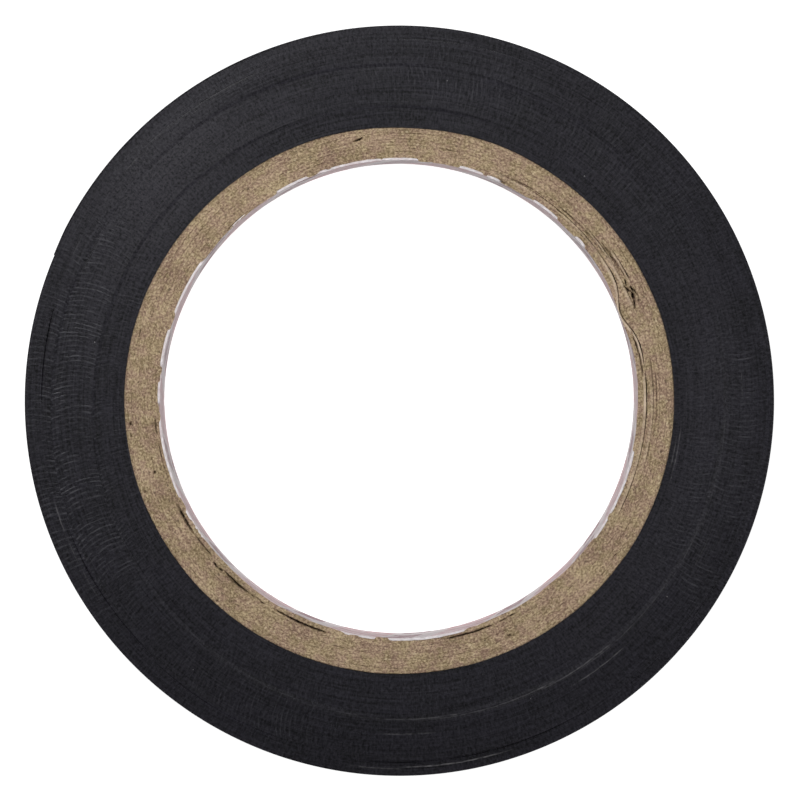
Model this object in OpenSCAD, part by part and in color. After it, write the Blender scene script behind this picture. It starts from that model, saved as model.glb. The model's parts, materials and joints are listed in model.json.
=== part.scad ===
// Roll of electrical insulation tape: one continuous strip of black vinyl tape wound on a
// laminated board core with a printed paper liner. The roll lies flat on one face.
// The origin is on the axis of the bore at the lower face, and Z points up along the bore.
// Lengths are in millimetres and angles in degrees, counter-clockwise from X seen from above.

/* [Core] */
// Diameter of the bore, the inside of the printed liner
bore_diameter = 38; // [25:0.5:76]
// Thickness of the printed paper liner
liner_thickness = 0.15; // [0.05:0.05:0.5]
// Thickness of each of the five board plies
ply_thickness = 0.5; // [0.3:0.05:1]

/* [Tape] */
// Width of the tape, which is also the width of the core and the height of the roll
tape_width = 15; // [10:1:50]
// Thickness of the tape, film and adhesive together
tape_thickness = 0.13; // [0.1:0.01:0.25]
// Number of turns wound on the core
turn_count = 61.8; // [10:0.1:130]

/* [Free end] */
// Direction of the cut end of the tape, seen from the bore axis
end_direction = 157; // [0:1:359]
// Angle that each of the six peeling segments of the free end covers
segment_angle = 8; // [4:1:12]
// Gap between the free end and the turn below it
peel_clearance = 0.02; // [0.01:0.01:0.05]

/* [Hidden] */
$fn = 180;

// core
PLY_COUNT = 5;
bore_r = bore_diameter / 2;
liner_outer_r = bore_r + liner_thickness;
core_outer_r = liner_outer_r + PLY_COUNT * ply_thickness;

// The outline of the roll is a spiral of two half-turn arcs that starts and ends at the cut end.
// Their centres lie either side of the bore axis, so the radius grows by one tape thickness a turn.
HALF_TURN = 180;
FULL_TURN = 360;
centre_shift = tape_thickness / 4;
tip_r = core_outer_r + turn_count * tape_thickness;
last_turn_start_r = tip_r - tape_thickness;
pack_start_r = last_turn_start_r - tape_thickness;

// Radius of each half-turn arc about its own centre, for a spiral that starts at a given radius
function first_half_r(start_r) = start_r + centre_shift;
function second_half_r(start_r) = start_r + 3 * centre_shift;

// The free end is six equal arcs between the peel line and the cut end
SEGMENT_COUNT = 6;
peel_line_angle = FULL_TURN - SEGMENT_COUNT * segment_angle;

// A through cut runs past both faces
cut_margin = 1;

CARDBOARD = [0.60, 0.51, 0.42];
INNER_CARDBOARD = [0.66, 0.58, 0.48];
LINER_PAPER = [0.88, 0.82, 0.82];
BURIED_TAPE = [0.13, 0.13, 0.14];
OUTER_TAPE = [0.07, 0.07, 0.08];
FREE_TAPE = [0.10, 0.10, 0.11];

// A ring about the bore axis, the full width of the tape
module ring(inner_r, outer_r) {
  difference() {
    cylinder(r = outer_r, h = tape_width);
    translate([0, 0, -cut_margin])
      cylinder(r = inner_r, h = tape_width + 2 * cut_margin);
  }
}

// Board ply by its place in the core, counted outwards from the liner
module ply_ring(place) {
  outer_r = liner_outer_r + place * ply_thickness;
  ring(outer_r - ply_thickness, outer_r);
}

// An arc of tape about a centre moved along the direction of the cut end
module tape_arc(shift, inner_r, outer_r, start_angle, end_angle) {
  rotate([0, 0, end_direction])
    translate([shift, 0, 0])
      rotate([0, 0, start_angle])
        rotate_extrude(angle = end_angle - start_angle)
          translate([inner_r, 0])
            square([outer_r - inner_r, tape_width]);
}

// Peeling segment of the last turn by its place, counted from the peel line to the cut end
module free_segment(place) {
  inner_r = second_half_r(pack_start_r) + peel_clearance;
  outer_r = second_half_r(last_turn_start_r);
  start_angle = peel_line_angle + (place - 1) * segment_angle;
  tape_arc(centre_shift, inner_r, outer_r, start_angle, start_angle + segment_angle);
}

// Printed paper liner that forms the bore
module printed_liner() {
  color(LINER_PAPER)
    ring(bore_r, liner_outer_r);
}

// Innermost board ply, glued to the liner
module core_ply_1() {
  color(CARDBOARD)
    ply_ring(1);
}

// Second board ply
module core_ply_2() {
  color(INNER_CARDBOARD)
    ply_ring(2);
}

// Third board ply
module core_ply_3() {
  color(CARDBOARD)
    ply_ring(3);
}

// Fourth board ply
module core_ply_4() {
  color(INNER_CARDBOARD)
    ply_ring(4);
}

// Outermost board ply, which the first turn of tape sticks to
module core_ply_5() {
  color(CARDBOARD)
    ply_ring(5);
}

// All the buried turns, stuck together into one spiral block with a step at the cut end
module wound_turns() {
  color(BURIED_TAPE)
    difference() {
      union() {
        tape_arc(-centre_shift, core_outer_r / 2, first_half_r(pack_start_r), 0, HALF_TURN);
        tape_arc(centre_shift, core_outer_r / 2, second_half_r(pack_start_r), HALF_TURN, FULL_TURN);
      }
      translate([0, 0, -cut_margin])
        cylinder(r = core_outer_r, h = tape_width + 2 * cut_margin);
    }
}

// The stuck part of the outermost turn, from below the cut end round to the peel line
module last_turn() {
  color(OUTER_TAPE)
    union() {
      tape_arc(-centre_shift, first_half_r(pack_start_r), first_half_r(last_turn_start_r), 0, HALF_TURN);
      tape_arc(centre_shift, second_half_r(pack_start_r), second_half_r(last_turn_start_r), HALF_TURN,
        peel_line_angle);
    }
}

// Free end, first segment after the peel line
module free_end_1() {
  color(FREE_TAPE)
    free_segment(1);
}

// Free end, second segment
module free_end_2() {
  color(OUTER_TAPE)
    free_segment(2);
}

// Free end, third segment
module free_end_3() {
  color(FREE_TAPE)
    free_segment(3);
}

// Free end, fourth segment
module free_end_4() {
  color(OUTER_TAPE)
    free_segment(4);
}

// Free end, fifth segment
module free_end_5() {
  color(FREE_TAPE)
    free_segment(5);
}

// Free end, last segment, with the cut end of the tape
module free_end_6() {
  color(OUTER_TAPE)
    free_segment(6);
}

printed_liner();
core_ply_1();
core_ply_2();
core_ply_3();
core_ply_4();
core_ply_5();
wound_turns();
last_turn();
free_end_1();
free_end_2();
free_end_3();
free_end_4();
free_end_5();
free_end_6();
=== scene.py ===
"""A roll of black vinyl electrical tape on a laminated board core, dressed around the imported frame.

Lengths are in millimetres until they become vertices, which are in metres. Directions are in degrees,
counter-clockwise from +X seen from above, and theta is the same direction in radians.
"""

import json
import math

import bpy
import numpy as np
from mathutils import Matrix, Vector


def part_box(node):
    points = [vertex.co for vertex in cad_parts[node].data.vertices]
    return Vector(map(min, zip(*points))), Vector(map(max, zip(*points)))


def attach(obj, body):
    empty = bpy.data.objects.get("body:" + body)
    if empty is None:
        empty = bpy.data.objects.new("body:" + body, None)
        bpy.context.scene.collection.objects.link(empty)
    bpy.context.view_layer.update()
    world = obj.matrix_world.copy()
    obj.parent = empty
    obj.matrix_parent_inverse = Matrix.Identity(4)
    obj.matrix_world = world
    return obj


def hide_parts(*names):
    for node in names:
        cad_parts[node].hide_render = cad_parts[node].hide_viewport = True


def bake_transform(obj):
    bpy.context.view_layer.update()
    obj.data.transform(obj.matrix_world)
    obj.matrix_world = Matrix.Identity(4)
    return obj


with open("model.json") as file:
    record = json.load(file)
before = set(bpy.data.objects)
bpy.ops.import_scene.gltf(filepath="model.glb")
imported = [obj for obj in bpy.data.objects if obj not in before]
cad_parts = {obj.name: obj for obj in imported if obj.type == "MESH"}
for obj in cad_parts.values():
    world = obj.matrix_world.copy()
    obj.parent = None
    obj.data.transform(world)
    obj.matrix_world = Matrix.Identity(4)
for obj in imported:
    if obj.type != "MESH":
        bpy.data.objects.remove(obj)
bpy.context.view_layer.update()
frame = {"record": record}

# ---------------------------------------------------------------- dimensions

MM = 0.001
TURN = 2 * math.pi
ROLL = "roll"


def outer_radius(node):
    """Outer radius of a CAD ring that is centred on the bore axis."""
    return round(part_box(node)[1][0] / MM, 3)


bore = next(mount for mount in frame["record"]["mounts"] if mount["name"] == "bore")
BORE_R = bore["dims"]["r_mm"]
WIDTH = bore["dims"]["length_mm"]
LINER_R = outer_radius("printed_liner")
PLY_COUNT = 5
PLY_R = [LINER_R] + [outer_radius(f"core_ply_{place}") for place in range(1, PLY_COUNT + 1)]
CORE_R = PLY_R[-1]

TAPE = 0.13
TURN_COUNT = 61.8
TIP_R = CORE_R + TURN_COUNT * TAPE
END_DIRECTION = 157
SEGMENT_ANGLE = 8
SEGMENT_COUNT = 6
PEEL_GAP = 0.02
PEEL_TURN = -SEGMENT_COUNT * SEGMENT_ANGLE / 360

# ---------------------------------------------------------------- noise

NOISE_ROWS = 97


def smoothstep(value):
    """0 below 0, 1 above 1, and smooth between."""
    value = np.clip(value, 0, 1)
    return value * value * (3 - 2 * value)


def round_noise(seed, theta, across, cells_round, cell_across):
    """Smooth noise from -1 to 1 that closes on itself after a full turn.

    across is a place across the bumps, such as a radius, or 0 for noise that only follows the turn.
    cells_round is the number of bumps in a turn, and cell_across is the size of a bump across them.
    """
    column = np.mod(theta / TURN, 1) * cells_round
    row = across / cell_across
    grid = np.random.default_rng(seed).uniform(-1, 1, (cells_round, NOISE_ROWS))
    column_low = np.floor(column).astype(int) % cells_round
    column_high = (column_low + 1) % cells_round
    row_low = np.floor(row).astype(int) % NOISE_ROWS
    row_high = (row_low + 1) % NOISE_ROWS
    column_part = smoothstep(column - np.floor(column))
    row_part = smoothstep(row - np.floor(row))
    low = grid[column_low, row_low] * (1 - column_part) + grid[column_high, row_low] * column_part
    high = grid[column_low, row_high] * (1 - column_part) + grid[column_high, row_high] * column_part
    return low * (1 - row_part) + high * row_part


def rough_noise(seed, theta, across, cells_round, cell_across, octaves=3):
    """round_noise with finer and weaker copies of itself added."""
    total = 0
    for octave in range(octaves):
        finer = 2**octave
        layer = round_noise(seed + octave, theta, across, cells_round * finer, cell_across / finer)
        total = total + layer / finer
    return total / 1.6


def window(theta, start, end):
    """1 in the middle of a range of directions, falling smoothly to 0 at its ends."""
    along = np.mod(np.degrees(theta) - start, 360) / (end - start)
    return np.where(along < 1, smoothstep(np.minimum(along, 1 - along) * 4), 0)


def hump(theta, centre, half_width):
    """A rounded hump, 1 at a direction and falling away on both sides of it."""
    away = np.mod(np.degrees(theta) - centre + 180, 360) - 180
    return np.exp(-((away / half_width) ** 2))


# ---------------------------------------------------------------- meshes


def polar(r, theta, z):
    """Points in millimetres from cylindrical coordinates of any shapes that fit each other."""
    r, theta, z = np.broadcast_arrays(r, theta, z)
    return np.stack([r * np.cos(theta), r * np.sin(theta), z], axis=-1)


def sweep(name, points, strip_slots, materials, closed, cap_slot=0, marks=None, crease=35):
    """A closed mesh through points[station, place], a loop of places at each station along a path.

    Seen along the path, the loop runs clockwise. strip_slots gives the material of the strip from each
    place to the next. A path that isn't closed gets a flat cap at each end.
    """
    stations, places, _ = points.shape
    index = np.arange(stations * places).reshape(stations, places)
    here = index if closed else index[:-1]
    there = np.roll(index, -1, axis=0) if closed else index[1:]
    quads = np.stack([here, np.roll(here, -1, axis=1), np.roll(there, -1, axis=1), there], axis=-1)
    slots = np.broadcast_to(np.asarray(strip_slots), here.shape).ravel().tolist()
    faces = quads.reshape(-1, 4).tolist()
    if not closed:
        faces += [index[0][::-1].tolist(), index[-1].tolist()]
        slots += [cap_slot, cap_slot]

    mesh = bpy.data.meshes.new(name)
    mesh.from_pydata((points.reshape(-1, 3) * MM).tolist(), [], faces)
    for material in materials:
        mesh.materials.append(material)
    mesh.polygons.foreach_set("material_index", slots)
    mesh.polygons.foreach_set("use_smooth", [True] * len(faces))
    mesh.set_sharp_from_angle(angle=math.radians(crease))
    rest = mesh.attributes.new("rest", "FLOAT_VECTOR", "POINT")
    rest.data.foreach_set("vector", points.astype(np.float32).ravel())
    for mark, values in (marks or {}).items():
        values = np.broadcast_to(values, points.shape[:2])
        attribute = mesh.attributes.new(mark, "FLOAT", "POINT")
        attribute.data.foreach_set("value", values.astype(np.float32).ravel())
    mesh.update()
    piece = bpy.data.objects.new(name, mesh)
    bpy.context.scene.collection.objects.link(piece)
    return piece


# ---------------------------------------------------------------- materials


class Nodes:
    """A material's node tree, with short ways to add and join nodes."""

    def __init__(self, name):
        """A new material of that name, with its shader ready to be set."""
        self.material = bpy.data.materials.new(name)
        self.material.use_nodes = True
        self.tree = self.material.node_tree
        self.shader = self.tree.nodes["Principled BSDF"]

    def add(self, kind, inputs=(), **settings):
        """A new node. An input's value is a number or colour, or another node's output."""
        node = self.tree.nodes.new(kind)
        for key, value in settings.items():
            setattr(node, key, value)
        self.set(node, dict(inputs))
        return node

    def set(self, node, inputs):
        """Join or set each of a node's inputs, given by name or number."""
        for key, value in inputs.items():
            if isinstance(value, bpy.types.NodeSocket):
                self.tree.links.new(value, node.inputs[key])
            else:
                node.inputs[key].default_value = value

    def math(self, operation, first, second=0.0, third=0.0):
        """The result of an operation on up to three values."""
        inputs = {0: first, 1: second, 2: third}
        return self.add("ShaderNodeMath", inputs, operation=operation).outputs[0]

    def times(self, first, second):
        """The product of two values."""
        return self.math("MULTIPLY", first, second)

    def total(self, first, *terms):
        """The sum of values, where a pair is a value and its weight."""
        result = self.times(*first) if isinstance(first, tuple) else first
        for term in terms:
            result = self.math("ADD", result, self.times(*term) if isinstance(term, tuple) else term)
        return result

    def scale(self, value, low, high, to_low=0.0, to_high=1.0):
        """value mapped from low..high to to_low..to_high, and held between them."""
        inputs = {"Value": value, "From Min": low, "From Max": high, "To Min": to_low, "To Max": to_high}
        return self.add("ShaderNodeMapRange", inputs).outputs[0]

    def mix(self, factor, first, second):
        """The first colour where factor is 0 and the second where it is 1."""
        node = self.add("ShaderNodeMix", data_type="RGBA")
        self.set(node, {0: factor, 6: first, 7: second})
        return node.outputs[2]

    def vector(self, x, y, z):
        """A vector made of three values."""
        return self.add("ShaderNodeCombineXYZ", {0: x, 1: y, 2: z}).outputs[0]

    def noise(self, vector, scale, detail=2.0, roughness=0.5):
        """Noise from 0 to 1, most of it near 0.5, with `scale` features in a unit of the vector."""
        inputs = {"Vector": vector, "Scale": scale, "Detail": detail, "Roughness": roughness}
        return self.add("ShaderNodeTexNoise", inputs).outputs[0]

    def mark(self, name):
        """The value that the mesh carries under that name."""
        return self.add("ShaderNodeAttribute", attribute_name=name).outputs["Fac"]

    def rest_point(self):
        """The point's place on the roll at rest, in millimetres, as a vector and as its three parts."""
        place = self.add("ShaderNodeAttribute", attribute_name="rest").outputs["Vector"]
        parts = self.add("ShaderNodeSeparateXYZ", {0: place}).outputs
        return place, parts[0], parts[1], parts[2]

    def cylinder(self):
        """The rest point's distance from the bore axis, and the two parts of its direction from it."""
        _, x, y, _ = self.rest_point()
        r = self.math("SQRT", self.math("ADD", self.times(x, x), self.times(y, y)))
        return r, self.math("DIVIDE", x, r), self.math("DIVIDE", y, r)

    def stretched(self, around, across, value=None):
        """A vector for noise whose features are `around` long round the roll and `across` along value.

        value is the distance from the bore axis unless it is given.
        """
        r, east, north = self.cylinder()
        spread = 25 / around
        along = self.times(r if value is None else value, 1 / across)
        return self.vector(self.times(east, spread), self.times(north, spread), along)

    def bump(self, height, distance, normal=None):
        """The surface normal with that height, times distance in millimetres, standing on it."""
        inputs = {"Height": height, "Distance": distance * MM, "Strength": 1.0}
        if normal is not None:
            inputs["Normal"] = normal
        return self.add("ShaderNodeBump", inputs).outputs[0]


def cut_vinyl():
    """The flat faces of the tape, cut by a round knife: near-black, with fine chatter lines and specks."""
    n = Nodes("cut_vinyl")
    place, _, _, _ = n.rest_point()
    r, east, north = n.cylinder()
    angle = n.math("ARCTAN2", north, east)

    # the chatter lines bow across each band between two turns of the knife's spiral
    band = n.math("DIVIDE", n.math("SUBTRACT", r, KNIFE_START["top"]), KNIFE_PITCH)
    laps = n.math("SUBTRACT", band, n.math("DIVIDE", angle, TURN))
    lap = n.math("FLOOR", laps)
    off_middle = n.math("SUBTRACT", n.math("FRACT", laps), 0.35)
    bow = n.times(n.math("POWER", off_middle, 2.0), CHATTER_BOW)
    wander = n.total(n.noise(n.stretched(3.0, 9.0), 1.0, detail=2.0), (lap, 0.21))
    drift = n.times(wander, 18.0)
    phase = n.math("MULTIPLY_ADD", n.math("SUBTRACT", angle, bow), CHATTER_LINES, drift)
    lines = n.scale(n.math("SINE", phase), 0.15, 1.0)
    broken = n.scale(n.noise(n.stretched(0.26, 0.8), 1.0, detail=3.0, roughness=0.6), 0.38, 0.60)
    groups = n.scale(n.noise(n.stretched(1.3, 3.5), 1.0, detail=2.0), 0.36, 0.62, 0.25, 1.15)
    broken = n.times(broken, groups)
    share = n.mark("chatter")
    chatter = n.times(n.times(lines, broken), share)

    rings = n.noise(n.stretched(7.0, 0.12), 1.0, detail=3.0, roughness=0.6)
    mottle = n.noise(place, 0.35, detail=3.0)
    grain = n.noise(place, 4.8, detail=4.0, roughness=0.8)
    strokes = n.noise(n.stretched(0.13, 0.50), 1.0, detail=3.0, roughness=0.6)

    specks = n.add("ShaderNodeTexVoronoi", {"Vector": place, "Scale": 0.75})
    speck_kind = n.add("ShaderNodeSeparateColor", {0: specks.outputs["Color"]}).outputs[0]
    speck_size = n.scale(speck_kind, 0.55, 1.0, 0.0, 0.055)
    speck = n.math("LESS_THAN", specks.outputs["Distance"], speck_size)
    # stretched white edges and specks, with burrs along the knife's step lightened as a painted highlight
    # where its ridge would catch the light
    scuff_and_highlight = n.mark("scuff_and_highlight")
    ragged = n.scale(n.noise(n.stretched(0.5, 0.13), 1.0, detail=2.0), 0.35, 0.60, 0.15, 1.25)
    scuff_and_highlight = n.times(scuff_and_highlight, ragged)

    tone = n.total(
        n.scale(mottle, 0.3, 0.7, -0.04, 0.19),
        n.scale(rings, 0.36, 0.64, -0.04, 0.37),
        n.scale(grain, 0.40, 0.62, -0.11, 0.48),
        n.scale(strokes, 0.40, 0.62, 0.02, 0.27),
    )
    black = n.mix(tone, (0.0002, 0.0002, 0.0006, 1), (0.0110, 0.0096, 0.0166, 1))
    # frosting, and a painted sheen where the key light falls from the upper-left: lightens the black
    frost_and_sheen = n.mark("frost_and_sheen")
    black = n.mix(n.times(frost_and_sheen, n.scale(grain, 0.34, 0.64)), black, (0.033, 0.031, 0.038, 1))
    marked = n.mix(n.times(chatter, 0.75), black, (0.050, 0.049, 0.057, 1))
    pale = n.math("MAXIMUM", n.times(speck, 0.7), scuff_and_highlight)
    scuffed_and_highlit = n.mix(pale, marked, (0.16, 0.155, 0.16, 1))
    # painted shade: the gap mark darkens colour and gloss in the open gaps between turns and on the side of
    # the face away from the key light
    gap = n.mark("gap")
    lit = n.math("SUBTRACT", 1.0, n.times(gap, 0.9))
    surface = n.mix(lit, (0, 0, 0, 1), scuffed_and_highlit)
    fine = n.total(grain, strokes, (rings, 0.7))
    shine = n.scale(fine, 1.13, 1.57, 0.17, 0.35)

    height = n.total((chatter, 1.5), (rings, 0.7), (grain, 0.8), (strokes, 0.9))
    n.set(
        n.shader,
        {
            "Base Color": surface,
            "Roughness": n.scale(grain, 0.35, 0.65, 0.36, 0.52),
            "Specular IOR Level": n.times(shine, lit),
            "Normal": n.bump(height, 0.007),
        },
    )
    return n.material


def calendered_vinyl():
    """The outside of the tape: smooth black film with a soft gloss and faint streaks along its length."""
    n = Nodes("calendered_vinyl")
    place, _, _, z = n.rest_point()
    streaks = n.noise(n.stretched(30.0, 0.45, z), 1.0, detail=4.0, roughness=0.65)
    cloud = n.noise(place, 0.22, detail=3.0)
    puckers = n.noise(n.stretched(1.1, 9.0, z), 1.0, detail=2.0)
    orange_peel = n.noise(place, 2.6, detail=2.0)
    fine = n.noise(place, 11.0, detail=1.0)
    dust = n.add("ShaderNodeTexVoronoi", {"Vector": place, "Scale": 0.6})
    dust_kind = n.add("ShaderNodeSeparateColor", {0: dust.outputs["Color"]}).outputs[1]
    dust_size = n.scale(dust_kind, 0.7, 1.0, 0.0, 0.035)
    dusty = n.math("LESS_THAN", dust.outputs["Distance"], dust_size)
    rubs = n.noise(n.stretched(14.0, 0.16, z), 1.0, detail=3.0, roughness=0.6)
    worn = n.times(n.scale(rubs, 0.52, 0.66), n.scale(cloud, 0.42, 0.60))
    black = n.mix(n.scale(streaks, 0.35, 0.65), (0.0030, 0.0028, 0.0038, 1), (0.0120, 0.0117, 0.0135, 1))
    black = n.mix(n.times(worn, 0.7), black, (0.050, 0.050, 0.053, 1))
    stretched_white = n.mark("scuff_and_highlight")
    stretch_lines = n.scale(n.noise(n.stretched(0.35, 1.2, z), 1.0, detail=2.0), 0.36, 0.60, 0.2, 1.2)
    black = n.mix(n.times(stretched_white, stretch_lines), black, (0.17, 0.17, 0.175, 1))
    colour = n.mix(n.times(dusty, 0.6), black, (0.12, 0.12, 0.12, 1))
    shine = n.total(n.scale(streaks, 0.36, 0.64, 0.20, 0.34), n.scale(cloud, 0.36, 0.62, 0.0, 0.07))
    gloss = n.total(n.scale(cloud, 0.3, 0.7, 0.15, 0.27), n.scale(streaks, 0.3, 0.7, 0.0, 0.10))
    height = n.total(orange_peel, (streaks, 1.6), (puckers, 2.2), (fine, 0.15))
    n.set(
        n.shader,
        {
            "Base Color": colour,
            "Roughness": gloss,
            "Specular IOR Level": shine,
            "Normal": n.bump(height, 0.010),
        },
    )
    return n.material


def adhesive():
    """The sticky side of the tape: black rubber adhesive with a wet shine and pulled flecks."""
    n = Nodes("adhesive")
    place, _, _, z = n.rest_point()
    pulled = n.noise(n.stretched(0.5, 1.6, z), 1.0, detail=3.0)
    flecks = n.noise(place, 3.5, detail=2.0)
    colour = n.mix(n.scale(pulled, 0.35, 0.7), (0.0070, 0.0066, 0.0070, 1), (0.016, 0.0152, 0.0156, 1))
    height = n.total((pulled, 0.7), flecks)
    n.set(
        n.shader,
        {
            "Base Color": colour,
            "Roughness": n.scale(flecks, 0.3, 0.7, 0.12, 0.30),
            "Normal": n.bump(height, 0.018),
        },
    )
    return n.material


def board():
    """Recycled grey-brown board, sawn across its plies: mottled fibres with light and dark flecks."""
    n = Nodes("board")
    place, _, _, _ = n.rest_point()
    laid = n.noise(n.stretched(0.24, 0.12), 1.0, detail=3.0, roughness=0.65)
    speckle = n.noise(place, 5.5, detail=3.0, roughness=0.75)
    cloud = n.noise(place, 0.45, detail=3.0)
    layers = n.noise(n.stretched(5.0, 0.13), 1.0, detail=2.0)
    hue = n.noise(place, 0.8, detail=4.0, roughness=0.7)

    tone = n.total(
        n.scale(laid, 0.34, 0.66, -0.02, 0.47),
        n.scale(speckle, 0.36, 0.64, -0.02, 0.50),
        n.scale(cloud, 0.3, 0.7, -0.03, 0.18),
        n.scale(layers, 0.3, 0.7, -0.115, 0.055),
    )
    ramp = n.add("ShaderNodeValToRGB", {0: tone})
    ramp.color_ramp.elements[0].position = 0.16
    ramp.color_ramp.elements[0].color = (0.122, 0.078, 0.045, 1)
    ramp.color_ramp.elements[1].position = 0.86
    ramp.color_ramp.elements[1].color = (0.63, 0.49, 0.315, 1)
    middle = ramp.color_ramp.elements.new(0.50)
    middle.color = (0.322, 0.234, 0.147, 1)

    flecks = n.add("ShaderNodeTexVoronoi", {"Vector": n.stretched(0.50, 0.30), "Scale": 1.0})
    fleck_kind = n.add("ShaderNodeSeparateColor", {0: flecks.outputs["Color"]}).outputs
    dark_size = n.scale(fleck_kind[0], 0.88, 1.0, 0.0, 0.32)
    dark = n.math("LESS_THAN", flecks.outputs["Distance"], dark_size)
    pale_size = n.scale(fleck_kind[1], 0.76, 1.0, 0.0, 0.30)
    pale = n.math("LESS_THAN", flecks.outputs["Distance"], pale_size)
    tint = n.mix(n.scale(hue, 0.42, 0.58), (0.31, 0.248, 0.120, 1), (0.35, 0.205, 0.180, 1))
    colour = n.mix(0.26, ramp.outputs[0], tint)
    colour = n.mix(n.times(pale, 0.50), colour, (0.68, 0.56, 0.37, 1))
    colour = n.mix(n.times(dark, 0.60), colour, (0.075, 0.050, 0.034, 1))
    # painted shade and highlight from the shade mark: darker in pits, splits and next to the tape, paler on
    # the raised lips of the splits where it is below zero
    shade = n.mark("shade")
    colour = n.mix(n.times(shade, -1.0), colour, (0.66, 0.53, 0.40, 1))
    colour = n.mix(n.times(shade, 0.88), colour, (0.030, 0.019, 0.013, 1))

    height = n.total(laid, (speckle, 0.8))
    n.set(
        n.shader,
        {
            "Base Color": colour,
            "Roughness": n.scale(speckle, 0.3, 0.7, 0.82, 0.95),
            "Specular IOR Level": 0.25,
            "Normal": n.bump(height, 0.05),
        },
    )
    return n.material


def printed_paper():
    """The inside of the liner: pale paper with a worn print of pink and crimson slanting bands."""
    n = Nodes("printed_paper")
    place, _, _, z = n.rest_point()
    _, east, north = n.cylinder()
    share = n.math("DIVIDE", n.math("ARCTAN2", north, east), TURN)
    lift = n.math("DIVIDE", z, WIDTH)
    bands = n.math("MULTIPLY_ADD", share, PRINT_BANDS, n.times(lift, 0.35))
    band = n.math("FRACT", bands)
    cross = n.math("FRACT", n.math("MULTIPLY_ADD", share, 3 * PRINT_BANDS, n.times(lift, -4.5)))
    rows = n.math("MULTIPLY_ADD", lift, PRINT_ROWS, n.times(n.math("FLOOR", bands), 0.38))
    row = n.math("FRACT", rows)
    pink = n.math("LESS_THAN", band, 0.50)
    crimson = n.times(n.math("GREATER_THAN", band, 0.56), n.math("LESS_THAN", band, 0.82))
    crimson = n.times(crimson, n.math("LESS_THAN", row, 0.66))
    diamonds = n.times(pink, n.math("LESS_THAN", cross, 0.35))
    wear = n.noise(place, 1.1, detail=4.0, roughness=0.65)
    ink = n.scale(wear, 0.38, 0.50, 0.15, 1.0)
    fibres = n.noise(n.stretched(1.6, 0.25, z), 1.0, detail=3.0)

    paper = n.mix(n.scale(fibres, 0.34, 0.66), (0.30, 0.262, 0.266, 1), (0.62, 0.555, 0.565, 1))
    colour = n.mix(n.times(pink, n.times(ink, 0.95)), paper, (0.37, 0.165, 0.178, 1))
    bare = n.times(diamonds, n.times(ink, 0.60))
    colour = n.mix(bare, colour, (0.56, 0.50, 0.52, 1))
    colour = n.mix(n.times(crimson, ink), colour, (0.145, 0.026, 0.046, 1))
    # painted shade: the liner wall is darker partway down the bore, where less light reaches it
    painted_shade_band = n.times(n.scale(lift, 0.12, 0.28), n.scale(lift, 0.45, 0.75, 1.0, 0.0))
    painted_shade_amount = n.times(painted_shade_band, n.scale(wear, 0.3, 0.6, 0.10, 0.42))
    colour = n.mix(painted_shade_amount, colour, (0.15, 0.105, 0.105, 1))
    n.set(
        n.shader,
        {
            "Base Color": colour,
            "Roughness": n.scale(fibres, 0.3, 0.7, 0.45, 0.62),
            "Normal": n.bump(fibres, 0.012),
        },
    )
    return n.material


def torn_paper():
    """The cut and torn edge of the liner: bare white fibres."""
    n = Nodes("torn_paper")
    place, _, _, _ = n.rest_point()
    fibres = n.noise(n.stretched(0.5, 0.1), 1.0, detail=3.0)
    cloud = n.noise(place, 1.1, detail=2.0)
    pale = n.mix(n.scale(fibres, 0.3, 0.7), (0.58, 0.53, 0.53, 1), (0.90, 0.85, 0.86, 1))
    colour = n.mix(n.scale(cloud, 0.48, 0.72, 0.0, 0.35), pale, (0.56, 0.38, 0.38, 1))
    n.set(n.shader, {"Base Color": colour, "Roughness": 0.9, "Normal": n.bump(fibres, 0.03)})
    return n.material


def floor_paper():
    """The pale floor, lit a little from within like a light table, so that it stays white."""
    n = Nodes("floor_paper")
    place = n.add("ShaderNodeTexCoord").outputs["Object"]
    tooth = n.noise(place, 900.0, detail=2.0)
    colour = n.mix(n.scale(tooth, 0.3, 0.7), (0.34, 0.34, 0.34, 1), (0.37, 0.37, 0.37, 1))
    n.set(
        n.shader,
        {
            "Base Color": colour,
            "Roughness": 0.8,
            "Specular IOR Level": 0.1,
            "Emission Color": (1, 1, 1, 1),
            "Emission Strength": FLOOR_GLOW,
        },
    )
    return n.material


# ---------------------------------------------------------------- the tape

# The knife that cut the roll left a spiral step on each face. Its distance from the axis in direction 0
# is given, and it grows by the pitch each turn: counter-clockwise on the top face, clockwise below.
# The face slopes down by the step's height from one turn to the next, and rises in a share of the pitch.
# The step's strength is given at a few laps from its start.
KNIFE_PITCH = 3.3
KNIFE_START = {"top": 22.55, "bottom": 23.7}
KNIFE_WAY = {"top": 1, "bottom": -1}
KNIFE_STEP = 0.050
KNIFE_RISE = 0.075
KNIFE_LAPS = (0.0, 0.15, 0.25, 0.60, 1.00, 1.45, 1.70, 3.0)
KNIFE_STRENGTH = (0.1, 0.3, 0.80, 1.00, 0.60, 0.80, 0.12, 0.1)

# The knife chattered: lines in a full turn, how much they bow, and where they are strong
CHATTER_LINES = 424
CHATTER_BOW = 0.045
CHATTER_PATCHES = [
    (136, 228, 1.0),
    (316, 378, 0.60),
    (30, 62, 0.35),
    (62, 100, 0.45),
    (222, 262, 0.35),
]

# Where the cut face is frosted, partly a painted sheen where the key light falls from the upper-left:
# distance from the axis and half width, direction and half angle, strength
FROST_AND_SHEEN_PATCHES = [
    (26.6, 2.6, 136, 18, 1.00),
    (28.8, 1.0, 116, 26, 0.45),
    (23.0, 1.2, 140, 16, 0.45),
    (24.6, 0.7, 162, 14, 0.35),
    (24.2, 0.6, 118, 16, 0.30),
    (23.4, 1.6, -14, 46, 0.34),
    (25.8, 2.0, 4, 26, 0.32),
]

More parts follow.
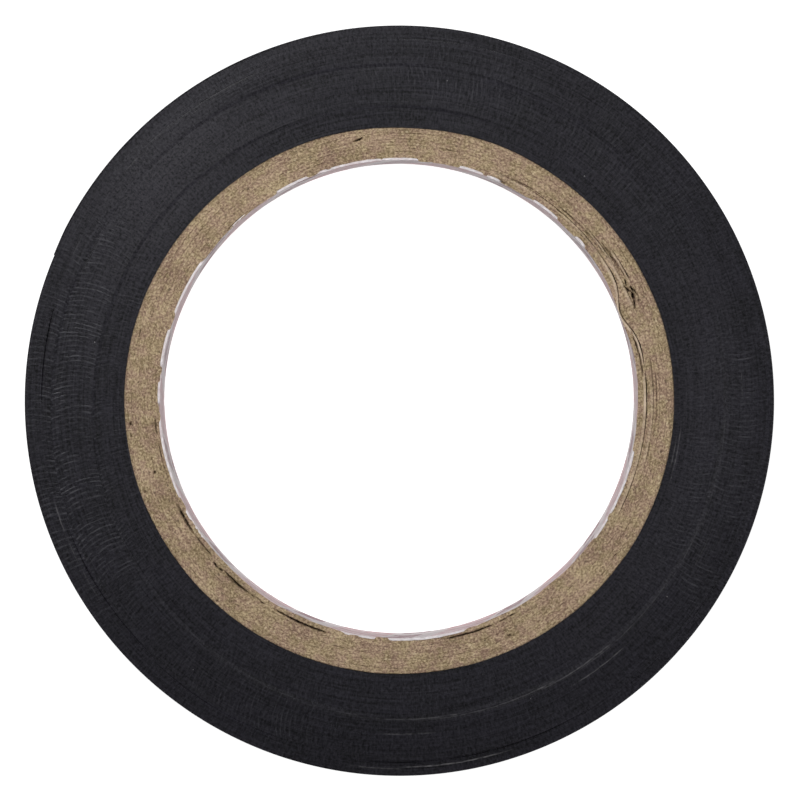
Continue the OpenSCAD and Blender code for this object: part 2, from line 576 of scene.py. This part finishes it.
# Painted shade on the cut face, on the side away from the key light: share, direction and half angle, and
# the distances from the axis where that begins and is full
SIDE_SHADE_SHARE = 0.20
SIDE_SHADE_DIRECTIONS = (254, 58)
SIDE_SHADE_RADII = (22.0, 27.0)

# Places where two neighbouring turns stand apart, with painted shade in the gap between them: distance from
# the axis, start and end direction, depth
OPEN_TURNS = [
    (28.22, 164, 181, 0.080),
    (28.30, 110, 138, 0.016),
    (28.62, 66, 92, 0.016),
    (28.02, 198, 228, 0.030),
    (28.26, 226, 254, 0.020),
    (28.55, 262, 304, 0.060),
    (28.80, 304, 332, 0.016),
    (26.95, 150, 158, 0.018),
]

# Turn edges that are stretched white: distance from the axis, start and end direction, strength
WHITENED_TURNS = [
    (28.86, 269, 289, 0.55),
    (28.98, 262, 271, 0.30),
    (26.30, 266, 277, 0.22),
    (26.28, 301, 314, 0.36),
    (28.34, 196, 202, 0.34),
    (28.34, 201, 214, 0.16),
    (22.28, 342, 356, 0.24),
    (22.02, 346, 353, 0.22),
    (27.10, 0, 5, 0.12),
    (26.75, 330, 338, 0.10),
    (28.34, 129, 134, 0.14),
    (28.20, 136, 140, 0.16),
    (27.90, 121, 127, 0.10),
    (28.20, 152, 157, 0.12),
]

# Burrs along the knife's step on the top face, lightened as a painted highlight where the step's ridge
# would catch the light: directions along its spiral, and strength
BURR_HIGHLIGHTS = [(100, 168, 0.05), (222, 376, 0.12), (258, 326, 0.15), (294, 312, 0.20)]
BURR_HIGHLIGHT_LAP = 0
BURR_HIGHLIGHT_WIDTH = 0.17

# The wound tape follows the core's uneven outline, and this many turns later only 1/e of it is left
SETTLE_TURNS = 8

# Height of the slight crown on the cut edge of each turn
TURN_CROWN = 0.002

# The cut end of the tape is pinched thinner: how much, and over how many degrees. The last of them are
# stretched white.
TIP_PINCH = 0.065
TIP_PINCH_ANGLE = 5
TIP_WHITE_ANGLE = 1.6

# Stations in a turn of the buried tape and of the outermost turn, and rows across the outermost film
WOUND_STATIONS = 240
STRIP_STATIONS = 1080
STRIP_ROWS = 12

# The film's edges are rounded by this much, and its outer face ripples by up to this much
EDGE_ROUNDING = 0.02
FILM_RIPPLE = 0.012

# Where the buried tape starts, in turns after its spiral leaves the core
TAPE_START = 0.15


def growth(turn):
    """Growth in radius, in tape thicknesses, of a spiral of half-turn arcs, whole at whole turns."""
    whole = np.floor(turn)
    swing = np.cos(TURN * (turn - whole))
    return whole + np.where(turn - whole < 0.5, (1 - swing) / 4, (3 + swing) / 4)


def direction(turn):
    """theta at that many turns from the cut end, where turns buried below it are negative."""
    return math.radians(END_DIRECTION) + TURN * turn


def core_wave(theta):
    """How far the outside of the core lies inside its nominal radius."""
    dents = 0.125 * hump(theta, 86, 12) + 0.06 * hump(theta, 55, 16) + 0.20 * hump(theta, 265, 60)
    dents = dents + 0.05 * hump(theta, 218, 22) + 0.05 * hump(theta, 140, 22)
    return dents - 0.09 + 0.03 * rough_noise(71, theta, 0, 23, 1.0)


def turn_radius(turn):
    """Outer radius of the wound tape, settled towards the core in the first turns."""
    layers = TURN_COUNT + growth(turn)
    settled = np.exp(-np.maximum(layers, 0) / SETTLE_TURNS)
    return TIP_R + TAPE * growth(turn) - core_wave(direction(turn)) * settled


def knife_place(r, theta, side):
    """Turns of the knife's spiral between its start and a point: whole numbers lie on its step."""
    wobble = 0.14 * round_noise(5, theta, r, 5, 3.0) + 0.05 * round_noise(6, theta, r, 37, 1.5)
    return (r + wobble - KNIFE_START[side]) / KNIFE_PITCH - KNIFE_WAY[side] * np.mod(theta / TURN, 1)


def face_depth(r, theta, side):
    """Depth of the cut face below the flat plane that touches its highest points."""
    seed = 11 if side == "top" else 23
    depth = 0.006 + 0.004 * round_noise(seed + 1, theta, r, 30, 1.2)
    laps = knife_place(r, theta, side)
    turned = np.mod(theta / TURN, 1)
    next_step = np.floor(laps) + 1 + (turned if side == "top" else 1 - turned)
    strength = np.interp(next_step, KNIFE_LAPS, KNIFE_STRENGTH)
    strength = strength * (0.62 + 0.75 * rough_noise(seed + 2, theta, r, 23, 3.0))
    along = np.mod(laps, 1)
    saw = np.minimum(along / (1 - KNIFE_RISE), (1 - along) / KNIFE_RISE)
    return depth + KNIFE_STEP * strength * saw


def chatter_share(r, theta):
    """How strong the knife's chatter lines are at a place, from 0 to 1."""
    share = 0.10 + 0 * theta
    for start, end, strength in CHATTER_PATCHES:
        share = share + strength * window(theta, start, end)
    patchy = 0.8 + 0.5 * rough_noise(61, theta, r, 22, 1.6, 2)
    calm = (0.35 + 0.65 * smoothstep((r - 23.4) / 1.4)) * (1 - 0.45 * smoothstep((r - 27.8) / 0.6))
    return np.clip(share * patchy * calm, 0, 1.2)


def frosting_and_sheen(r, theta):
    """How much the cut face is lightened at a place, by frosting and by a painted sheen toward the key
    light, from 0 to 1.
    """
    amount = 0 * theta
    for centre_r, half_r, centre, half_width, strength in FROST_AND_SHEEN_PATCHES:
        near = np.exp(-(((r - centre_r) / half_r) ** 2))
        amount = amount + strength * hump(theta, centre, half_width) * near
    return np.clip(amount, 0, 1)


def painted_side_shade(r, theta):
    """How much painted shade darkens the cut face at a place, on the side away from the key light, from 0
    to 1.
    """
    start_r, full_r = SIDE_SHADE_RADII
    return SIDE_SHADE_SHARE * hump(theta, *SIDE_SHADE_DIRECTIONS) * smoothstep((r - start_r) / (full_r - start_r))


def whitening_and_highlight(r, theta):
    """How much a turn's top edge is stretched white at a place, and how much burr and painted highlight lie
    along the knife's step, from 0 to 1.
    """
    amount = 0 * theta
    for edge_r, start, end, strength in WHITENED_TURNS:
        amount = amount + strength * window(theta, start, end) * (np.abs(r - edge_r) < TAPE / 2)
    along = knife_place(r, theta, "top")
    lap = np.floor(along)
    on_step = np.exp(-(((along - lap) * KNIFE_PITCH / BURR_HIGHLIGHT_WIDTH) ** 2)) * (lap == BURR_HIGHLIGHT_LAP)
    for start, end, strength in BURR_HIGHLIGHTS:
        amount = amount + strength * window(theta, start, end) * on_step
    return amount


def wound_tape(cut, film):
    """All the buried turns, as one real spiral of tape with its two cut faces and its outer face."""
    first_turn = TAPE_START - TURN_COUNT
    steps = int((-1 - first_turn) * WOUND_STATIONS)
    turn = np.linspace(first_turn, -1, steps + 1)
    theta = direction(turn)
    outer = turn_radius(turn)
    inner = np.maximum(turn_radius(turn - 1), CORE_R - core_wave(theta))
    middle = (inner + outer) / 2

    opened = np.zeros_like(turn)
    for r, start, end, depth in OPEN_TURNS:
        patchy = 0.75 + 0.5 * round_noise(37, theta, 0, 150, 1.0)
        opened = opened + depth * patchy * window(theta, start, end) * (np.abs(outer - r) < TAPE / 2)
    edge = outer - 0.3 * opened
    uneven = 0.0022 * (1 + round_noise(31, theta, TURN_COUNT + growth(turn), 12, 1.0))

    def level(r, side, crown):
        """Points on one of the cut faces."""
        depth = uneven + crown + face_depth(r, theta, side)
        return polar(r, theta, WIDTH - depth if side == "top" else depth)

    loop = [
        level(inner, "top", TURN_CROWN),
        level(middle, "top", 0),
        level(edge, "top", TURN_CROWN + opened),
        level(edge, "bottom", TURN_CROWN),
        level(middle, "bottom", 0),
        level(inner, "bottom", TURN_CROWN),
    ]
    white_and_highlight = whitening_and_highlight(middle, theta)
    clear = 0 * white_and_highlight
    shaded = np.minimum(opened / 0.03, 1)
    shade_away_from_key = painted_side_shade(middle, theta)
    # the gap mark is painted shade: in the open gaps between turns, and on the side away from the key light
    gap_edge_shade = np.maximum(shade_away_from_key, 0.2 * shaded)
    marks = {
        "gap": np.stack([shade_away_from_key, gap_edge_shade, np.maximum(shade_away_from_key, shaded), clear, clear, clear], axis=1),
        "scuff_and_highlight": np.stack([clear, white_and_highlight, white_and_highlight, clear, clear, clear], axis=1),
        "chatter": chatter_share(middle, theta)[:, None],
        "frost_and_sheen": frosting_and_sheen(middle, theta)[:, None],
    }
    slots = [0, 0, 1, 0, 0, 0]
    piece = sweep("wound_tape", np.stack(loop, axis=1), slots, [cut, film], closed=False, marks=marks)
    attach(piece, ROLL)
    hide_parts("wound_turns")


def outer_strip(name, start_turn, end_turn, materials, gap=0.0):
    """A stretch of the outermost turn, with its outer face, its two cut edges and its sticky side."""
    steps = max(8, int(round((end_turn - start_turn) * STRIP_STATIONS)))
    turn = np.linspace(start_turn, end_turn, steps + 1)
    theta = direction(turn)
    full = TIP_R + TAPE * growth(turn)
    outer = full - TIP_PINCH * smoothstep(1 + turn * 360 / TIP_PINCH_ANGLE)
    inner = full - TAPE + gap
    top = WIDTH - face_depth(full, theta, "top")
    bottom = face_depth(full, theta, "bottom")
    loop = [polar(inner, theta, top - 2 * TURN_CROWN), polar(outer - EDGE_ROUNDING, theta, top)]
    for share in np.linspace(0, 1, STRIP_ROWS + 1):
        z = top - EDGE_ROUNDING + (bottom - top + 2 * EDGE_ROUNDING) * share
        ripple = FILM_RIPPLE * (1 + rough_noise(41, theta, z, 26, 5.0, 2)) / 2
        loop.append(polar(outer - ripple, theta, z))
    loop.append(polar(outer - EDGE_ROUNDING, theta, bottom))
    loop.append(polar(inner, theta, bottom + 2 * TURN_CROWN))
    cut, film, sticky = 0, 1, 2
    slots = [cut, cut] + [film] * STRIP_ROWS + [cut, cut, sticky]
    points = np.stack(loop, axis=1)
    on_film = np.array([0, 0] + [1] * (STRIP_ROWS + 1) + [0, 0])
    marks = {
        "chatter": chatter_share(full, theta)[:, None],
        "frost_and_sheen": frosting_and_sheen(full, theta)[:, None],
        # painted shade on the side of the cut face away from the key light
        "gap": painted_side_shade(full, theta)[:, None],
        "scuff_and_highlight": smoothstep(1 + turn * 360 / TIP_WHITE_ANGLE)[:, None] * on_film,
    }
    return sweep(name, points, slots, materials, closed=False, cap_slot=cut, marks=marks, crease=50)


def last_turn(materials):
    """The stuck part of the outermost turn."""
    piece = outer_strip("last_turn_strip", -1, PEEL_TURN, materials)
    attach(piece, ROLL)
    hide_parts("last_turn")


def free_end(materials):
    """The free end, in pieces that meet at the middle of each hinged segment, with the tip carried by the
    last segment.
    """
    segment = SEGMENT_ANGLE / 360
    seams = [PEEL_TURN] + [PEEL_TURN + (place + 0.5) * segment for place in range(SEGMENT_COUNT)]
    bodies = [ROLL] + [f"free_end_{place}" for place in range(1, SEGMENT_COUNT + 1)]
    for place in range(SEGMENT_COUNT):
        start, end = seams[place], seams[place + 1]
        piece = outer_strip(f"free_strip_{place + 1}", start, end, materials, PEEL_GAP)
        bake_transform(piece)
        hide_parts(bodies[place + 1])
    tip = outer_strip("free_strip_tip", seams[-1], 0, materials, PEEL_GAP)
    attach(tip, bodies[-1])


# ---------------------------------------------------------------- the core

# Stations round the core and rings across a ply's face
CORE_STATIONS = 1300
FACE_RINGS = 11

# The gap between board and tape, and how far the sawn board lies below the cut tape
BOARD_GAP = 0.012
BOARD_DEPTH = 0.07

# Depths of the rings down the wall of a split, and how deep a split goes
WALL_DEPTHS = (0.05, 0.13, 0.27, 0.5, 0.85, 1.3)
SPLIT_DEPTH = 1.3

# Splits between plies: boundary (0 is the liner, 1 the outside of ply 1), directions, half width
SPLITS = {
    "top": [
        (1, -30, -4, 0.020),
        (1, -8, 8, 0.044),
        (1, 7, 26, 0.078),
        (1, 18, 36, 0.034),
        (1, 27, 62, 0.016),
        (0, 4, 17, 0.024),
        (2, -16, 8, 0.012),
        (2, 19, 44, 0.026),
        (3, 27, 36, 0.022),
        (1, 58, 68, 0.018),
    ],
    "bottom": [
        (1, 60, 118, 0.040),
        (2, 96, 140, 0.022),
        (0, 300, 345, 0.040),
        (3, 200, 236, 0.016),
        (1, 255, 280, 0.020),
    ],
}

# Where the knife crushed the plies in towards the bore: joint, direction, half angle, how far at the face
CRUSHED = {
    "top": [(1, 21.5, 5.0, 0.76), (0, 21.0, 7.5, 0.20), (2, 25.0, 7.0, 0.16)],
    "bottom": [(1, 88.0, 9.0, 0.30)],
}
CRUSH_DEPTH = 0.5

# Dents, torn pits and scratches: direction, distance from the axis, half length round the core, half
# width, depth, and how far they slant outwards for each millimetre along
PITS = {
    "top": [
        (24.3, 20.28, 0.22, 0.10, 0.90, 0.1),
        (23.2, 20.20, 0.26, 0.06, 0.80, 0.3),
        (22.3, 20.10, 0.30, 0.045, 0.60, 0.3),
        (25.8, 20.42, 0.22, 0.05, 0.70, -0.2),
        (26.0, 20.10, 0.30, 0.06, 0.60, -0.5),
        (24.8, 20.55, 0.20, 0.04, 0.35, -0.3),
        (22.8, 20.48, 0.18, 0.04, 0.35, 0.4),
        (27.6, 20.20, 0.24, 0.04, 0.40, 0.2),
        (99.2, 20.86, 0.26, 0.050, 0.60, -0.18),
        (98.3, 20.92, 0.16, 0.045, 0.40, -0.6),
        (184.8, 21.28, 0.14, 0.08, 0.60, 0.0),
        (187.2, 21.34, 0.16, 0.04, 0.30, 0.1),
        (196.2, 20.08, 0.08, 0.07, 0.40, 0.0),
        (199.6, 21.28, 0.08, 0.08, 0.40, 0.0),
        (227.6, 21.32, 0.08, 0.12, 0.35, 0.0),
        (221.8, 19.42, 0.22, 0.05, 0.50, 0.2),
        (223.4, 19.36, 0.16, 0.06, 0.50, -0.3),
        (209.0, 19.30, 1.10, 0.055, 1.00, 0.0),
        (216.5, 19.22, 1.00, 0.035, 0.45, -0.02),
        (228.0, 19.25, 1.10, 0.055, 0.90, 0.0),
        (234.0, 19.20, 0.90, 0.030, 0.35, 0.0),
        (246.0, 19.15, 2.00, 0.050, 1.00, 0.0),
        (287.0, 19.14, 1.70, 0.050, 0.80, 0.01),
        (297.0, 19.12, 0.90, 0.030, 0.40, 0.0),
        (186.0, 19.30, 0.60, 0.040, 0.40, 0.0),
        (194.0, 19.26, 1.40, 0.030, 0.30, 0.0),
        (132.0, 19.12, 0.90, 0.035, 0.35, 0.0),
        (-13.7, 21.28, 0.04, 0.26, 0.35, 0.0),
        (-19.0, 20.70, 1.20, 0.030, 0.10, -0.55),
        (-17.0, 20.95, 1.00, 0.030, 0.10, -0.60),
        (-21.0, 20.40, 0.90, 0.030, 0.09, -0.50),
        (-11.0, 20.10, 0.80, 0.035, 0.12, -0.15),
        (-6.0, 20.30, 1.00, 0.030, 0.12, 0.0),
        (6.0, 20.10, 1.00, 0.030, 0.14, 0.0),
        (10.0, 19.32, 1.30, 0.035, 0.40, -0.04),
        (14.0, 19.22, 0.90, 0.035, 0.40, -0.08),
        (32.0, 20.36, 1.30, 0.035, 0.30, -0.02),
        (33.0, 20.22, 0.90, 0.030, 0.25, 0.03),
        (30.0, 20.58, 0.60, 0.030, 0.20, 0.0),
        (1.0, 20.37, 1.90, 0.030, 0.20, 0.0),
        (38.0, 19.95, 1.80, 0.030, 0.20, 0.0),
        (48.5, 19.92, 1.90, 0.030, 0.22, 0.0),
        (60.0, 19.74, 1.70, 0.030, 0.20, -0.02),
        (37.0, 20.30, 0.50, 0.040, 0.16, 0.0),
        (45.0, 19.42, 2.20, 0.030, 0.16, 0.0),
        (52.0, 19.60, 1.80, 0.030, 0.16, -0.02),
        (41.0, 19.86, 1.20, 0.030, 0.16, 0.03),
        (66.0, 19.14, 0.90, 0.035, 0.30, 0.0),
        (79.0, 20.20, 0.60, 0.030, 0.10, 0.0),
        (152.0, 20.90, 0.50, 0.035, 0.12, 0.1),
        (165.0, 21.15, 0.50, 0.035, 0.14, -0.1),
        (230.0, 20.65, 0.07, 0.06, 0.25, 0.0),
        (285.0, 20.30, 0.10, 0.06, 0.25, 0.2),
        (295.2, 20.45, 0.14, 0.06, 0.30, 0.2),
        (324.5, 20.95, 0.30, 0.04, 0.20, 0.1),
    ],
    "bottom": [
        (70.0, 20.4, 0.50, 0.05, 0.50, 0.1),
        (88.0, 20.2, 0.25, 0.10, 0.80, 0.0),
        (150.0, 20.8, 0.30, 0.06, 0.40, 0.1),
        (262.0, 20.2, 0.40, 0.05, 0.40, -0.1),
        (330.0, 20.9, 0.10, 0.06, 0.40, 0.0),
        (20.0, 20.5, 1.20, 0.03, 0.12, 0.4),
        (205.0, 20.8, 1.20, 0.03, 0.12, -0.4),
    ],
}
PIT_FULL_SHADE = 0.45

# How dark the board is next to the tape, and how quickly that fades inwards
EDGE_SHADE = 0.45
EDGE_SHADE_WIDTH = 0.12

# How much a painted highlight pales the raised inner lip of a split, for each millimetre that it stands up
LIP_HIGHLIGHT = 17

# The printed liner: how many bands its print has in a turn and how many rows, where its torn edge folds out
# over the board (directions and reach), where the board's edge is rolled over it without a break, where the
# tear runs deep (directions and depth), and how deep it is elsewhere and how much that varies
PRINT_BANDS = 14
PRINT_ROWS = 2
FLAPS = [(267, 275, 0.06), (272, 282, 0.07), (183, 206, 0.04), (143, 160, 0.03), (94, 99, 0.03)]
FULLY_ROLLED = [(-14, 33), (204, 268), (282, 330)]
DEEP_TEARS = [(13, 28, 3.2), (58, 70, 0.20), (180, 183.5, 1.2), (236, 246, 0.12), (304, 318, 0.15)]
LINER_TEAR = {"top": (0.17, 0.09), "bottom": (0.10, 0.06)}

# The liner's butt seam: how far it slants in turns, its depth, and its width in turns
LINER_SEAM_TURNS = 0.27
LINER_SEAM_DEPTH = 0.06
LINER_SEAM_WIDTH = 0.0016
LINER_ROWS = 30

# How far the board's sawn edge is rolled in over the edge of the liner, and how deep that reaches
ROLLED_EDGE = {"top": 0.17, "bottom": 0.09}
ROLLED_DEPTH = 0.3

# The knife pinched the bore's mouth on the top face and pushed it towards +Y: how far, and how deep it goes
MOUTH_PINCH = 0.12
MOUTH_SHIFT = 0.17
MOUTH_DEPTH = 0.8


def mouth_shift(theta, depth, side):
    """How far the bore's wall stands outwards of its nominal radius near the mouth."""
    if side == "bottom":
        return 0 * theta
    return (MOUTH_SHIFT * np.sin(theta) - MOUTH_PINCH) * np.exp(-((depth / MOUTH_DEPTH) ** 2))


def fold_reach(theta, side):
    """How far the liner's edge folds out over the board."""
    if side == "bottom":
        return 0.05 * np.maximum(rough_noise(215, theta, 0, 40, 1.0) - 0.2, 0)
    reach = 0.07 * np.maximum(rough_noise(205, theta, 0, 70, 1.0) + 0.04, 0)
    for start, end in FULLY_ROLLED:
        reach = reach * (1 - window(theta, start, end))
    for start, end, out in FLAPS:
        uneven = 1 + 0.50 * rough_noise(210, theta, 0, 90, 1.0)
        reach = np.maximum(reach, out * uneven * window(theta, start, end))
    return reach


def ply_boundary(place, theta, depth, side):
    """Radius of the joint outside that ply at a depth below the face. 0 is the joint with the liner."""
    if place == PLY_COUNT:
        gap = BOARD_GAP * (1 + 0.6 * round_noise(88, theta, 0, 60, 1.0))
        return CORE_R - core_wave(theta) - gap
    if place == 0:
        covered = 1 - np.minimum(fold_reach(theta, side) / 0.02, 1)
        uneven = 1 + 0.3 * rough_noise(86, theta, 0, 50, 1.0)
        rolled = ROLLED_EDGE[side] * covered * uneven
        r = LINER_R - rolled * np.exp(-((depth / ROLLED_DEPTH) ** 2))
    else:
        r = PLY_R[place] + 0.045 * rough_noise(80 + place, theta, 0, 17, 1.0)
    r = r + (1 - place / PLY_COUNT) * mouth_shift(theta, depth, side)
    for joint, centre, half_angle, shift in CRUSHED[side]:
        if joint == place:
            r = r - shift * hump(theta, centre, half_angle) * np.exp(-((depth / CRUSH_DEPTH) ** 2))
    return r


def split_width(place, theta, side):
    """Half width of the split at a joint between plies: a hairline, opened where a split is listed."""
    width = 0.004 + 0.003 * round_noise(90 + place, theta, 0, 40, 1.0)
    for joint, start, end, half in SPLITS[side]:
        if joint == place:
            ragged = 0.75 + 0.45 * rough_noise(95 + joint, theta, 0, 110, 1.0)
            width = width + half * ragged * window(theta, start, end)
    return np.maximum(width, 0.002)


def board_face(place, r, theta, side):
    """Depth of a ply's sawn face below the flat plane of the roll, and how dark it is.

    Pits are darkened with painted shade, and the raised inner lips of the splits are paled with a painted
    highlight, below zero.
    """
    seed = 100 + 10 * place + (0 if side == "top" else 500)
    depth = BOARD_DEPTH + 0.018 * round_noise(seed, theta, r, 18, 2.0)
    depth = depth + 0.014 * rough_noise(seed + 1, theta, r, 130, 0.5)
    depth = depth + 0.020 * round_noise(seed + 4, theta, r, 520, 0.11)
    depth = depth + 0.014 * round_noise(seed + 5, theta, r, CORE_STATIONS // 2, 0.09)
    outer_edge = CORE_R - core_wave(theta)
    shade = EDGE_SHADE * np.exp(-np.maximum(outer_edge - r, 0) / EDGE_SHADE_WIDTH)
    for joint, start, end, half in SPLITS[side]:
        if joint in (place - 1, place):
            lip = min(half, 0.045) * window(theta, start, end)
            away = ply_boundary(joint, theta, 0, side) - r
            depth = depth - 1.1 * lip * np.exp(-np.abs(away) / 0.10)
            highlight_ragged = 1 + 0.8 * rough_noise(99 + joint, theta, 0, 90, 1.0, 2)
            shade = shade - LIP_HIGHLIGHT * lip * highlight_ragged * np.exp(-(((away - 0.15) / 0.08) ** 2))
    wobble = 0.03 * rough_noise(97, theta, 0, 330, 1.0, 2)
    torn = 0.85 + 0.75 * rough_noise(98, theta, r, 640, 0.10, 2)
    for centre, pit_r, half_length, half_width, pit, slant in PITS[side]:
        away_round = np.mod(np.degrees(theta) - centre + 180, 360) - 180
        along = np.radians(away_round) * pit_r
        across = (r - pit_r - slant * along + wobble) / half_width
        hollow = torn * np.exp(-((along / half_length) ** 4) - across**2)
        depth = depth + pit * hollow
        dark = np.clip(min(1, pit / PIT_FULL_SHADE) * hollow, 0, 1)
        shade = shade * (1 - dark) + dark
    return np.maximum(depth, 0.004), shade


def core_ply(place, material):
    """One ply of the core, with sawn faces and with walls that part from its neighbours at the splits."""
    theta = np.arange(CORE_STATIONS) * TURN / CORE_STATIONS
    loop, shades = [], []

    def add(r, depth, side, shade):
        """Add a ring of points at a depth below a face, and how dark it is."""
        loop.append(polar(r, theta, WIDTH - depth if side == "top" else depth))
        shades.append(shade)

    def face(side, shares):
        """Add rings across a sawn face, at shares of the way from its inner to its outer edge."""
        left = ply_boundary(place - 1, theta, 0, side) + split_width(place - 1, theta, side)
        right = ply_boundary(place, theta, 0, side) - split_width(place, theta, side)
        for share in shares:
            r = left + (right - left) * share
            depth, shade = board_face(place, r, theta, side)
            add(r, depth + 0.018 * (share in (0, 1)), side, shade)

    def wall(joint, sign, side, depths):
        """Add rings down the wall of the split at a joint, on its outer (1) or inner (-1) side."""
        half = split_width(joint, theta, side)
        for depth in depths:
            r = ply_boundary(joint, theta, depth, side) + sign * half * (1 - depth / SPLIT_DEPTH) ** 1.5
            add(r, BOARD_DEPTH + 0.02 + depth, side, 0.7 * np.minimum(half / 0.03, 1) * min(1, depth * 5))

    shares = np.linspace(0, 1, FACE_RINGS)
    face("top", shares)
    wall(place, -1, "top", WALL_DEPTHS)
    wall(place, -1, "bottom", WALL_DEPTHS[::-1])
    face("bottom", shares[::-1])
    wall(place - 1, 1, "bottom", WALL_DEPTHS)
    wall(place - 1, 1, "top", WALL_DEPTHS[::-1])
    points = np.stack(loop, axis=1)
    slots = [0] * len(loop)
    marks = {"shade": np.stack(shades, axis=1)}
    piece = sweep(f"board_ply_{place}", points, slots, [material], closed=True, marks=marks, crease=60)
    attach(piece, ROLL)
    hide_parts(f"core_ply_{place}")


def liner(print_material, torn_material):
    """The paper liner: a thin tube with a slanting butt seam inside and ragged, torn ends."""
    theta = np.arange(CORE_STATIONS) * TURN / CORE_STATIONS
    ragged = rough_noise(200, theta, 0, 120, 1.0)
    reach = fold_reach(theta, "top")
    mean, varied = LINER_TEAR["top"]
    tear = mean + varied * ragged
    for start, end, depth in DEEP_TEARS:
        tear = tear + depth * window(theta, start, end) * (1 + 0.25 * ragged)
    tear = tear * (1 - 0.9 * np.minimum(reach / 0.02, 1))
    tear = np.maximum(tear, 0.012)
    mean, varied = LINER_TEAR["bottom"]
    bottom_tear = np.maximum(mean + varied * rough_noise(220, theta, 0, 100, 1.0), 0.01)

    top = WIDTH - tear
    middle_r, outer_r = (BORE_R + LINER_R) / 2, LINER_R - 0.01
    loop = []
    for share in 1 - np.linspace(1, 0, LINER_ROWS) ** 1.6:
        z = bottom_tear + (top - bottom_tear) * share
        past_seam = np.mod(theta / TURN - LINER_SEAM_TURNS * z / WIDTH, 1)
        seam = LINER_SEAM_DEPTH * np.exp(-(((past_seam - 0.5) / LINER_SEAM_WIDTH) ** 2))
        loop.append(polar(BORE_R + seam + mouth_shift(theta, WIDTH - z, "top"), theta, z))
    printed_strips = len(loop) - 3
    fold = np.minimum(reach / 0.05, 1)
    mouth = mouth_shift(theta, 0, "top")
    loop.append(polar(middle_r + mouth + 0.5 * reach, theta, top + 0.006 * fold))
    loop.append(polar(outer_r + mouth + reach, theta, top - 0.01 * (1 - fold)))
    loop.append(polar(outer_r + mouth + 0.5 * reach, theta, top - 0.035))
    loop.append(polar(outer_r + mouth, theta, top - 0.07))
    for share in (0.75, 0.5, 0.25):
        loop.append(polar(outer_r, theta, top * share))
    loop.append(polar(outer_r, theta, bottom_tear + 0.02))
    loop.append(polar(middle_r, theta, bottom_tear))
    printed, torn = 0, 1
    slots = [printed] * printed_strips + [torn] * (len(loop) - printed_strips)
    points = np.stack(loop, axis=1)
    piece = sweep("liner_tube", points, slots, [print_material, torn_material], closed=True, crease=50)
    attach(piece, ROLL)
    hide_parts("printed_liner")


# ---------------------------------------------------------------- studio

# The floor's own light and its side in metres, and the light of the surround
FLOOR_GLOW = 0.95
FLOOR_SIZE = 3.0
WORLD_STRENGTH = 0.25

# Softboxes: name, place and aim in metres, side in metres, power in watts
SOFTBOXES = [
    ("key", (-0.095, 0.204, 0.36), (0, 0, 0), 0.12, 1.14),
    ("fill", (0.55, -0.35, 0.60), (0, 0, 0), 0.50, 1.4),
]

# The camera's height above the top face, how far it stands towards +Y, the point of that face it looks
# at, and the width of the face that fills the frame
CAMERA_DISTANCE = 570
CAMERA_OFFSET = 8.6
CAMERA_AIM = (0.078, 0.107)
FRAME_WIDTH = 63.14
SENSOR = 36


def point_at(thing, target, up):
    """Turn an object so that its -Z points at a place and its Y leans towards up."""
    back = (thing.location - Vector(target)).normalized()
    right = Vector(up).cross(back).normalized()
    thing.rotation_euler = Matrix((right, back.cross(right), back)).transposed().to_euler()


def floor():
    """A plain pale floor under the roll."""
    half = FLOOR_SIZE / 2
    mesh = bpy.data.meshes.new("floor")
    corners = [(-half, -half, 0), (half, -half, 0), (half, half, 0), (-half, half, 0)]
    mesh.from_pydata(corners, [], [(0, 1, 2, 3)])
    mesh.materials.append(floor_paper())
    plane = bpy.data.objects.new("floor", mesh)
    bpy.context.scene.collection.objects.link(plane)


def lights():
    """A pale surround and the softboxes."""
    world = bpy.data.worlds.new("studio")
    world.use_nodes = True
    background = world.node_tree.nodes["Background"]
    background.inputs["Color"].default_value = (0.97, 0.98, 1.0, 1)
    background.inputs["Strength"].default_value = WORLD_STRENGTH
    bpy.context.scene.world = world
    for name, place, aim, side, power in SOFTBOXES:
        light = bpy.data.lights.new(name, "AREA")
        light.shape = "SQUARE"
        light.size = side
        light.energy = power
        box = bpy.data.objects.new(name, light)
        box.location = place
        point_at(box, aim, (0, 0, 1))
        bpy.context.scene.collection.objects.link(box)


def camera():
    """Straight above the roll, a little towards +Y, with the face of the roll filling the frame."""
    data = bpy.data.cameras.new("camera")
    data.sensor_width = SENSOR
    data.lens = SENSOR * CAMERA_DISTANCE / FRAME_WIDTH
    data.clip_start = 0.01
    data.clip_end = 10
    eye = bpy.data.objects.new("camera", data)
    eye.location = Vector((0, CAMERA_OFFSET, WIDTH + CAMERA_DISTANCE)) * MM
    point_at(eye, Vector((*CAMERA_AIM, WIDTH)) * MM, (0, 1, 0))
    bpy.context.scene.collection.objects.link(eye)
    bpy.context.scene.camera = eye


def main():
    cut, film, sticky = cut_vinyl(), calendered_vinyl(), adhesive()
    wound_tape(cut, film)
    last_turn([cut, film, sticky])
    free_end([cut, film, sticky])
    raw_board = board()
    for place in range(1, PLY_COUNT + 1):
        core_ply(place, raw_board)
    liner(printed_paper(), torn_paper())
    floor()
    lights()
    camera()
    bpy.context.scene.view_settings.view_transform = "Standard"


main()
